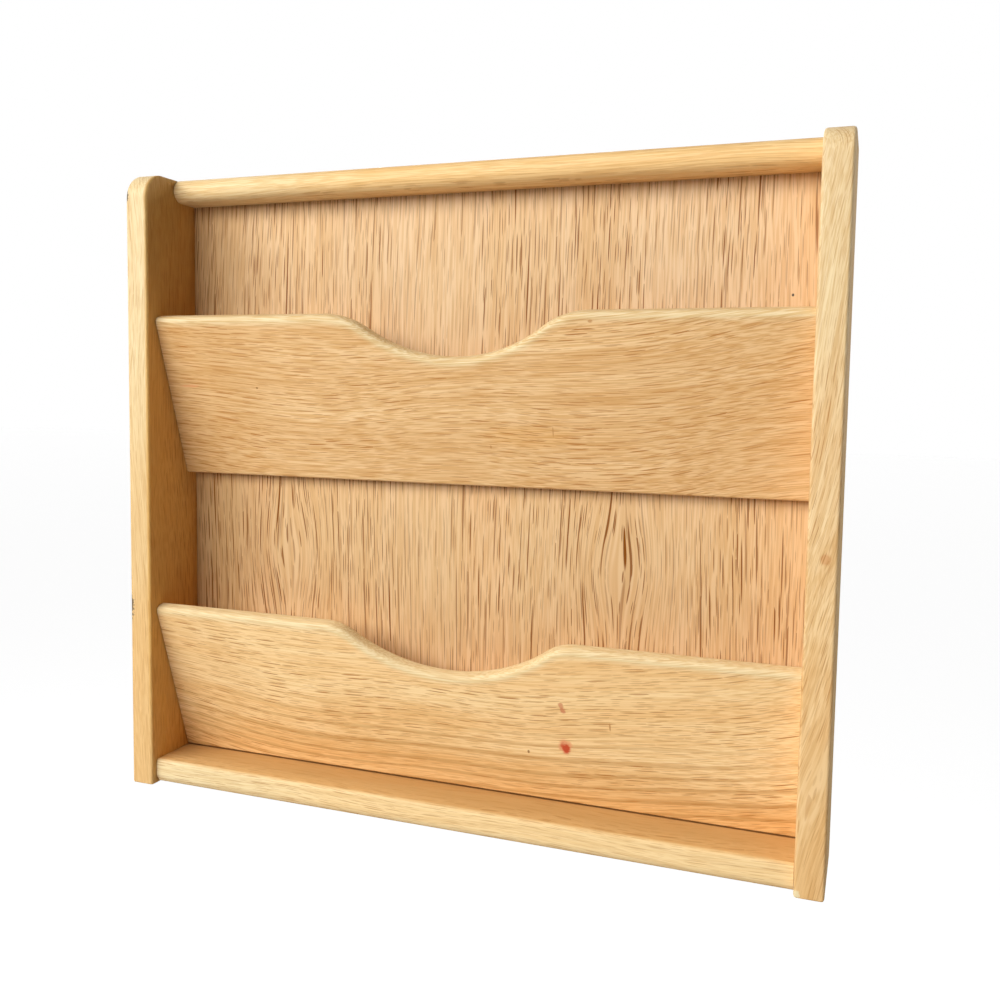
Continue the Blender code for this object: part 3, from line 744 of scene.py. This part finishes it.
# %% Cook a piece
CRISP_ANGLE = math.radians(38)


def sewn(name, work):
    mesh = bpy.data.meshes.new(name)
    work.to_mesh(mesh)
    work.free()
    return put(name, mesh)


def cook(piece):
    """Turns the object's modifiers into a plain mesh."""
    ready = piece.evaluated_get(bpy.context.evaluated_depsgraph_get())
    mesh = bpy.data.meshes.new_from_object(ready)
    piece.modifiers.clear()
    old = piece.data
    piece.data = mesh
    bpy.data.meshes.remove(old)
    mesh.name = piece.name
    return piece


def settle_normals(piece):
    piece.data.shade_smooth()
    piece.data.set_sharp_from_angle(angle=CRISP_ANGLE)
    weigh = piece.modifiers.new("weigh", "WEIGHTED_NORMAL")
    weigh.keep_sharp = True
    return cook(piece)


print("edges sharper than", round(math.degrees(CRISP_ANGLE)), "degrees stay crisp")

# %% Place a piece in the frame
MERGE_REACH = 0.000002


def hand_over(piece, material, slot, *nodes):
    """Gives the piece its finish and puts it in the frame, in the place of its CAD nodes."""
    piece.data.materials.clear()
    piece.data.materials.append(material)
    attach(piece, "root")
    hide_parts(*nodes)
    print(piece.name, len(piece.data.polygons), "faces for", len(nodes), "CAD nodes")


def merged_copy(node, name):
    """A copy of a CAD node with its loose triangles joined up again."""
    work = bmesh.new()
    work.from_mesh(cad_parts[node].data)
    bmesh.ops.remove_doubles(work, verts=work.verts, dist=MERGE_REACH)
    return sewn(name, work)


# %% [markdown]
# ## The side boards, the back panel and the hanger plates
# The boards are flat, with a rounded top corner, eased edges and seats routed for the hanger plates.
# The CAD solids have all of that, so merged copies with weighted normals are the finished boards. The
# plates are copies too, with a tiny Bevel, because a pressed edge is never quite sharp.

# %% Sides, back and hanger plates
PLATE_ARRIS, ARRIS_STEPS = 0.00015, 2
for node, wood in (("left_side", LEFT_WOOD), ("right_side", RIGHT_WOOD)):
    hand_over(settle_normals(merged_copy(node, node + "_board")), wood, "rubberwood", node)
panel = settle_normals(merged_copy("back_panel", "back_veneer_panel"))
hand_over(panel, veneer, "veneered_ply", "back_panel")

for node in ("left_hanger_plate", "right_hanger_plate"):
    plate = merged_copy(node, node + "_pressed")
    ease = plate.modifiers.new("pressed_edge", "BEVEL")
    ease.width, ease.segments = PLATE_ARRIS, ARRIS_STEPS
    ease.limit_method, ease.angle_limit = "ANGLE", CRISP_ANGLE
    hand_over(settle_normals(cook(plate)), zinc, "zinc_plate", node)

# %% [markdown]
# ## A start and an end for every tree
# Three Geometry Nodes trees follow. Each has named inputs for its sizes, and ends in Realize Instances
# and Set Material, because the export drops instances. A modifier knows its inputs by an identifier
# that Blender makes up, so `grow` looks the identifiers up.

# %% Trees, and growing a piece from one
def new_tree(name, on_points=True, **sizes):
    """A tree with named inputs; returns it with its net and its input sockets."""
    tree = bpy.data.node_groups.new(name, "GeometryNodeTree")
    tree.is_modifier = True
    add_socket(tree, "Geometry", "Geometry", "OUTPUT")
    if on_points:
        add_socket(tree, "Geometry", "Geometry")
    add_inputs(tree, sizes)
    add_socket(tree, "Material", "Material")
    net = Net(tree)
    return tree, net, named(net.node("NodeGroupInput").outputs)


def end_tree(net, geometry, material):
    whole = net.geometry("RealizeInstances", Geometry=geometry)
    coated = net.geometry("SetMaterial", Geometry=whole, Material=material)
    net.node("NodeGroupOutput", {0: coated})
    print(net.tree.name, "has", len(net.tree.nodes), "nodes")


def grow(piece, tree, **sizes):
    """Adds the tree as a modifier, sets its inputs by their identifiers, and cooks the piece."""
    recipe = piece.modifiers.new(tree.name, "NODES")
    recipe.node_group = tree
    for item in tree.interface.items_tree:
        key = item.name.replace(" ", "_")
        if key in sizes:
            recipe[item.identifier] = sizes[key]
    return cook(piece)


def points_at(name, places, faces=()):
    mesh = bpy.data.meshes.new(name)
    mesh.from_pydata([tuple(p) for p in places], [], faces)
    return put(name, mesh)


def middle_line(net, length):
    """A line of that length along X, about the origin; returns it with half its length."""
    half = net.times(length, 0.5)
    start = net.combine(net.times(half, -1.0))
    end = net.combine(half)
    return net.geometry("CurvePrimitiveLine", Start=start, End=end), half


# %% [markdown]
# ## Fluted dowels
# Sixteen beech dowels hold the boards together, fluted so that glue can run past them and chamfered
# so that they start easily. They are one thing repeated, so Geometry Nodes sweeps a fluted circle
# along a short line and puts it on a point for each CAD dowel. The same tree with no flutes and a
# looser radius makes the drills below.

# %% The dowel tree: the fluted circle
ROUND_POINTS = 72
dowel_tree, net, given = new_tree(
    "fluted_dowels", Radius=0.003, Length=0.028, Chamfer=0.0006, Flute_Depth=0.00025, Flutes=12.0)
ring = net.geometry(
    "CurvePrimitiveCircle", dict(mode="RADIUS"), Resolution=ROUND_POINTS, Radius=given.Radius)
spot = net.geometry("InputPosition")
axes = net.split(spot)
angle = net.math("ARCTAN2", axes[1], axes[0])
wave = net.math("COSINE", net.times(angle, given.Flutes))
half_depth = net.times(given.Flute_Depth, 0.5)
dip = net.times(net.plus(wave, -1.0), half_depth)
inward = net.vector("SCALE", net.vector("NORMALIZE", spot), dip)
fluted = net.geometry("SetPosition", Geometry=ring, Offset=inward)

# %% The dowel tree: a path of four points, its two ends narrowed by the chamfer
PATH_POINTS = 4
path, half = middle_line(net, given.Length)
path = net.geometry("ResampleCurve", Curve=path, Count=PATH_POINTS)
number = net.geometry("InputIndex")
from_middle = net.math("ABSOLUTE", net.minus(number, (PATH_POINTS - 1) / 2))
is_end = net.math("GREATER_THAN", from_middle, 1.0)
shoulder = net.minus(half, given.Chamfer)
stop = net.plus(shoulder, net.times(is_end, given.Chamfer))
side = net.math("SIGN", net.split(net.geometry("InputPosition"))[0])
spot = net.combine(net.times(side, stop))
path = net.geometry("SetPosition", Geometry=path, Position=spot)
narrower = net.over(given.Chamfer, given.Radius)
taper = net.minus(1.0, net.times(is_end, narrower))
swept = net.geometry("CurveToMesh", Curve=path, Profile_Curve=fluted, Fill_Caps=True, Scale=taper)
pegs = net.geometry("InstanceOnPoints", Points=given.Geometry, Instance=swept)
end_tree(net, pegs, given.Material)

# %% Set the dowels
DOWELS = [n for n in sorted(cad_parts) if "dowel" in n]
GLUE_GAP, HOLE_END_ROOM = 0.0003, 0.001
drills = []
for name, nodes in (
    ("frame_dowels", [n for n in DOWELS if "pocket" not in n]),
    ("pocket_dowels", [n for n in DOWELS if "pocket" in n]),
):
    corners = [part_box(n) for n in nodes]
    middles = [(low + high) / 2 for low, high in corners]
    low, high = corners[0]
    radius, length = (high.z - low.z) / 2, high.x - low.x
    dowels = grow(points_at(name, middles), dowel_tree, Radius=radius, Length=length, Material=beech)
    hand_over(settle_normals(dowels), beech, "beech_dowel", *nodes)
    drills.append(grow(points_at(name + "_drill", middles), dowel_tree, Radius=radius + GLUE_GAP,
                       Length=length + 2 * HOLE_END_ROOM, Flute_Depth=0.0, Material=beech))

# %% [markdown]
# ## Cutting the joints
# The rail, the shelf and the pocket fronts are new meshes, so they need their own dowel holes, and
# the rail and the shelf a groove for the back panel. Boolean modifiers take away the drills and a
# panel that is one glue gap larger all round.

# %% The joint cutters
groove = merged_copy("back_panel", "panel_groove")
low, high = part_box("back_panel")
middle = (low + high) / 2
for point in groove.data.vertices:
    for i in range(3):
        point.co[i] += math.copysign(GLUE_GAP, point.co[i] - middle[i])
CUTTERS = [groove, *drills]


def finish_board(board, wood, node):
    """Compares the board with its CAD solid, cuts its joints and hands it over."""
    low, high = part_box(node)
    off = [round((a - b) / MM, 3) for a, b in zip(board.dimensions, high - low)]
    print(node, "box off by (mm):", off)
    for cutter in CUTTERS:
        saw = board.modifiers.new(cutter.name, "BOOLEAN")
        saw.operation, saw.solver, saw.object = "DIFFERENCE", "EXACT", cutter
    hand_over(settle_normals(cook(board)), wood, "rubberwood", node)


print("cutters:", [c.name for c in CUTTERS])

# %% [markdown]
# ## The moulded rail and shelf
# Both are straight mouldings: a rectangle with rounded front corners, run along X. On the rail the
# two corners meet in a full half round; on the shelf the lower one is small. That is a rule with a
# few numbers, so one tree makes both: a rectangle, a Fillet Curve whose radius depends on the corner,
# and a sweep along a line.

# %% The moulding tree
NOSE_STEPS = 14
WELD = 0.00001
moulding_tree, net, given = new_tree(
    "moulded_board", on_points=False, Length=0.39, Depth=0.05, Thickness=0.014, Upper_Nose=0.007,
    Lower_Nose=0.007, Back_Arris=0.0008, Middle=ORIGIN)
section = net.geometry("CurvePrimitiveQuadrilateral", Width=given.Depth, Height=given.Thickness)
corner = net.split(net.geometry("InputPosition"))
at_front = net.math("GREATER_THAN", corner[0], 0.0)
at_top = net.math("GREATER_THAN", corner[1], 0.0)
nose = net.node("ShaderNodeMix", {0: at_top, 2: given.Lower_Nose, 3: given.Upper_Nose}).outputs[0]
radius = net.node("ShaderNodeMix", {0: at_front, 2: given.Back_Arris, 3: nose}).outputs[0]
rounded = net.geometry("FilletCurve", dict(mode="POLY"), Curve=section, Radius=radius,
                       Count=NOSE_STEPS, Limit_Radius=True)
run, _ = middle_line(net, given.Length)
swept = net.geometry("CurveToMesh", Curve=run, Profile_Curve=rounded, Fill_Caps=True)
joined = net.geometry("MergeByDistance", Geometry=swept, Distance=WELD)
moved = net.geometry("Transform", Geometry=joined, Translation=given.Middle)
end_tree(net, moved, given.Material)

# %% Run the rail and the shelf
HALF_ROUND, SMALL_ROUND = 0.007, 0.0025
for node, wood, lower in (
    ("top_rail", RAIL_WOOD, HALF_ROUND),
    ("bottom_shelf", SHELF_WOOD, SMALL_ROUND),
):
    low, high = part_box(node)
    size = high - low
    board = grow(points_at(node + "_moulding", []), moulding_tree, Middle=(low + high) / 2,
                 Length=size.x, Depth=size.y, Thickness=size.z, Lower_Nose=lower, Material=wood)
    finish_board(board, wood, node)

# %% [markdown]
# ## The pocket fronts
# A pocket front is a thin board that leans out at the top. Its top edge dips in a smooth curve of
# three arcs, so that a hand can take hold of a magazine, and both its arrises are rounded over. A
# Bevel would do for a straight edge. Here the board is lofted: one cross-section is drawn at many
# places along X, each as high as the curve is there, and skinned. On the slopes the rounding is
# stretched up the board, so that it keeps its radius square to the edge.

# %% The curve of the dip
DIP_DEPTH = 0.0255


def dip_reach(bowl, shoulder):
    """Half the width of the dip."""
    return math.sqrt((bowl + shoulder) ** 2 - (bowl + shoulder - DIP_DEPTH) ** 2)


def dip_at(x, bowl, shoulder):
    """How far the top edge lies below its ends: a bowl between two shoulders, tangent to both."""
    reach = dip_reach(bowl, shoulder)
    x = abs(x)
    if x >= reach:
        return 0.0
    if x > reach * bowl / (bowl + shoulder):
        return shoulder - math.sqrt(shoulder ** 2 - (x - reach) ** 2)
    return DIP_DEPTH - bowl + math.sqrt(bowl ** 2 - x ** 2)


UPPER_POCKET = dict(foot_y=-0.021237, foot_z=-0.177, bowl=0.091, shoulder=0.046)
LOWER_POCKET = dict(foot_y=-0.022737, foot_z=-0.3567, bowl=0.1, shoulder=0.028)
for form in (UPPER_POCKET, LOWER_POCKET):
    print("dip", round(2 * dip_reach(form["bowl"], form["shoulder"]) / MM), "mm wide")

# %% One cross-section
POCKET_SLANT = math.radians(17.5)
POCKET_THICKNESS = 0.009
TOP_ROUND, ROUND_STEPS = 0.003, 7
FOOT_ROUND, FOOT_IN, FOOT_UP = 0.0012, 0.3, 0.25
SANDED_SHEEN_REACH, SUPPORT = 0.0035, 0.0006
HALF_SANDED_SHEEN = 0.6


def pocket_section(top, slope):
    """Points (depth into the board, height up the slant, paleness from sanding and painted highlight) round
    one cross-section.
    """
    up = TOP_ROUND * math.sqrt(1 + slope ** 2)
    level = math.tan(POCKET_SLANT)
    edge = top - up
    front = [(FOOT_ROUND, -FOOT_ROUND * level, 0.0), (FOOT_ROUND * FOOT_IN, FOOT_ROUND * FOOT_UP, 0.0),
             (0.0, FOOT_ROUND, 0.0), (0.0, edge - SANDED_SHEEN_REACH, 0.0), (0.0, edge - SUPPORT, HALF_SANDED_SHEEN)]
    over = []
    for centre, start in ((TOP_ROUND, math.pi), (POCKET_THICKNESS - TOP_ROUND, math.pi / 2)):
        for i in range(ROUND_STEPS + 1):
            angle = start - i * math.pi / 2 / ROUND_STEPS
            over.append((centre + TOP_ROUND * math.cos(angle), edge + up * math.sin(angle), 1.0))
    back = [(edge - SUPPORT, HALF_SANDED_SHEEN), (edge - SANDED_SHEEN_REACH, 0.0), (-POCKET_THICKNESS * level, 0.0)]
    return front + over + [(POCKET_THICKNESS, *point) for point in back]


print("points round a section:", len(pocket_section(0.1, 0.0)))

# %% Loft the two fronts
POCKET_HEIGHT = 0.1011
HALF_LENGTH = 0.1947
FLAT_STEPS, DIP_STEPS = 16, 44
SLOPE_STEP = 1e-5


def loft_pocket(name, foot_y, foot_z, bowl, shoulder):
    reach = dip_reach(bowl, shoulder)
    outer = [HALF_LENGTH - i * (HALF_LENGTH - reach) / FLAT_STEPS for i in range(FLAT_STEPS)]
    inner = [reach - i * reach / DIP_STEPS for i in range(DIP_STEPS)]
    stations = [-x for x in outer + inner] + [0.0] + outer + inner
    lean_out, lean_up = math.sin(POCKET_SLANT), math.cos(POCKET_SLANT)
    work = bmesh.new()
    pale = work.verts.layers.float.new("sanded")
    rings = []
    for x in sorted(stations):
        rise = dip_at(x + SLOPE_STEP, bowl, shoulder) - dip_at(x - SLOPE_STEP, bowl, shoulder)
        section = pocket_section(POCKET_HEIGHT - dip_at(x, bowl, shoulder), rise / (2 * SLOPE_STEP))
        ring = []
        for d, v, sanded in section:
            y = foot_y - v * lean_out + d * lean_up
            z = foot_z + v * lean_up + d * lean_out
            point = work.verts.new((x, y, z))
            point[pale] = sanded
            ring.append(point)
        rings.append(ring)
    for left, right in zip(rings, rings[1:]):
        for i in range(len(left)):
            j = (i + 1) % len(left)
            work.faces.new((left[i], left[j], right[j], right[i]))
    work.faces.new(rings[0])
    work.faces.new(rings[-1])
    bmesh.ops.recalc_face_normals(work, faces=work.faces)
    return sewn(name, work)


for node, form, wood in (
    ("upper_pocket_front", UPPER_POCKET, UPPER_WOOD),
    ("lower_pocket_front", LOWER_POCKET, LOWER_WOOD),
):
    finish_board(loft_pocket(node + "_board", **form), wood, node)

for cutter in CUTTERS:
    bpy.data.objects.remove(cutter)

# %% [markdown]
# ## Screws for the hanger plates
# Four small countersunk screws hold the plates. A screw is a rule too: its radius depends on the
# distance from the head and, on the thread, on the angle round the axis. So a finely divided cylinder
# has its points moved in or out, two Booleans cut the crossed slots, and the screw is set on four
# points, each turned as far as a hand happened to stop.

# %% The screw tree: head, thread and point
SCREW_SIDES, SCREW_RINGS = 32, 110
HEAD_LAND, BLUNT_TIP = 0.00015, 0.05
screw_tree, net, given = new_tree(
    "countersunk_screws", Head_Radius=0.003, Shank_Radius=0.0013, Length=0.012, Point=0.003,
    Pitch=0.0011, Thread=0.00035, Slot_Width=0.0008, Slot_Depth=0.0007)
blank = net.geometry("MeshCylinder", Vertices=SCREW_SIDES, Side_Segments=SCREW_RINGS,
                     Radius=given.Head_Radius, Depth=given.Length)
axes = net.split(net.geometry("InputPosition"))
half = net.times(given.Length, 0.5)
below = net.minus(half, axes[2])
turns = net.over(net.math("ARCTAN2", axes[1], axes[0]), 2 * math.pi)
climb = net.plus(net.over(below, given.Pitch), turns)
ridge = net.times(net.math("PINGPONG", climb, 0.5), 2.0)
valley = net.times(given.Thread, net.minus(1.0, ridge))
core = net.minus(given.Shank_Radius, valley)
to_tip = net.over(net.minus(given.Length, below), given.Point)
narrowing = net.math("MINIMUM", 1.0, net.math("MAXIMUM", to_tip, BLUNT_TIP))
core = net.times(core, narrowing)
flare = net.minus(net.plus(given.Head_Radius, HEAD_LAND), below)
flare = net.math("MINIMUM", flare, given.Head_Radius)
girth = net.math("MAXIMUM", core, flare)
outward = net.vector("NORMALIZE", net.combine(axes[0], axes[1]))
shaped = net.vector("ADD", net.vector("SCALE", outward, girth), net.combine(z=axes[2]))
screw = net.geometry("SetPosition", Geometry=blank, Position=shaped)

# %% The screw tree: crossed slots, and a turn for each screw
TURN_SEED = 4
slot_size = net.combine(net.times(given.Shank_Radius, 2.0), given.Slot_Width,
                        net.times(given.Slot_Depth, 2.0))
blade = net.geometry("MeshCube", Size=slot_size)
for quarter in (0.0, math.pi / 2):
    arm = net.geometry("Transform", Geometry=blade, Translation=net.combine(z=half),
                       Rotation=(0.0, 0.0, quarter))
    screw = net.geometry("MeshBoolean", dict(operation="DIFFERENCE", solver="EXACT"),
                         Mesh_1=screw, Mesh_2=arm)
stop_turn = net.node("FunctionNodeRandomValue", {
    "Min": ORIGIN, "Max": (0.0, 0.0, math.pi), "Seed": TURN_SEED}, data_type="FLOAT_VECTOR")
faced = net.node("FunctionNodeRotateEuler", {
    "Rotation": stop_turn.outputs[0], "Rotate By": (-math.pi / 2, 0.0, 0.0)}, space="OBJECT")
set_in = net.geometry("InstanceOnPoints", Points=given.Geometry, Instance=screw,
                      Rotation=faced.outputs[0])
end_tree(net, set_in, given.Material)

# %% Drive the screws
SCREWS = [n for n in sorted(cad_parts) if "screw" in n]
corners = [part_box(n) for n in SCREWS]
low, high = corners[0]
screws = grow(points_at("hanger_screws", [(a + b) / 2 for a, b in corners]), screw_tree,
              Head_Radius=(high.x - low.x) / 2, Length=high.y - low.y, Material=zinc)
hand_over(settle_normals(screws), zinc, "zinc_plate", *SCREWS)

# %% [markdown]
# ## The floor
# The rack hangs at hand height, so the floor is well below it. It is plain and pale. A little white of
# its own, for the camera only, brings its lit part up to the white of the world, and the rack's shadow
# stays.

# %% A plain pale floor
FLOOR_DROP, FLOOR_REACH = 1.15, 30.0
FLOOR_PALE, FLOOR_ROUGH, FLOOR_GLOW = (0.86, 0.86, 0.86, 1.0), 0.9, 0.9
low = CAD_BOX[0].z - FLOOR_DROP
floor_corners = [(x * FLOOR_REACH, y * FLOOR_REACH, low) for x, y in ((-1, -1), (1, -1), (1, 1), (-1, 1))]
floor = points_at("floor", floor_corners, [(0, 1, 2, 3)])
plaster, net, surface = new_material("floor_pale")
seen = net.node("ShaderNodeLightPath").outputs["Is Camera Ray"]
net.fill(surface, Base_Color=FLOOR_PALE, Roughness=FLOOR_ROUGH, Emission_Color=WHITE,
         Emission_Strength=net.times(seen, FLOOR_GLOW))
floor.data.materials.append(plaster)
print("floor at", round(low, 3), "m")

# %% [markdown]
# The dressed rack has to stay inside the CAD model's box.
